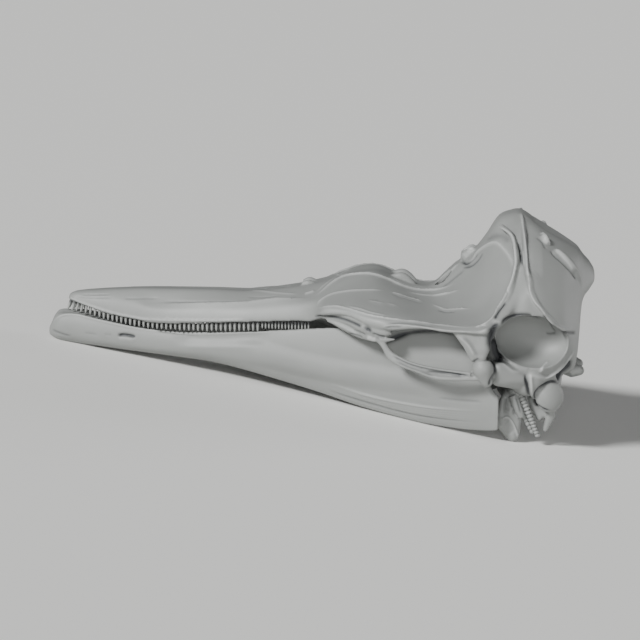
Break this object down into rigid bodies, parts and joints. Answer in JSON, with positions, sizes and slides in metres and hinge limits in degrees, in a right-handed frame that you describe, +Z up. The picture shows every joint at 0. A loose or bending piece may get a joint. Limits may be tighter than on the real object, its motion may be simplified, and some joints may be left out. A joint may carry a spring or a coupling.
{
  "type": "porpoise skull",
  "caption": "Adult porpoise skull in matt grey: braincase with a domed occiput, long toothed beak, open lower jaws and ear bones, resting on its chin and ear bones.",
  "frame": {"origin": "under the middle of the skull's box, on the surface that it rests on", "axes": "+X runs from the beak's tip to the occiput, -Y is the skull's left side and +Z is up"},
  "size_m": [0.3204, 0.1688, 0.127],
  "materials": {
    "cranium_bone": "matt grey bone with a faint satin sheen",
    "jaw_bone": "matt grey bone with a faint satin sheen",
    "ear_bone": "smooth dense grey bone"
  },
  "bodies": {
    "root": {"cranium": "cranium_bone", "lower_jaw_left": "jaw_bone", "lower_jaw_right": "jaw_bone", "ear_bone_left": "ear_bone", "ear_bone_right": "ear_bone"}
  },
  "joints": []
}
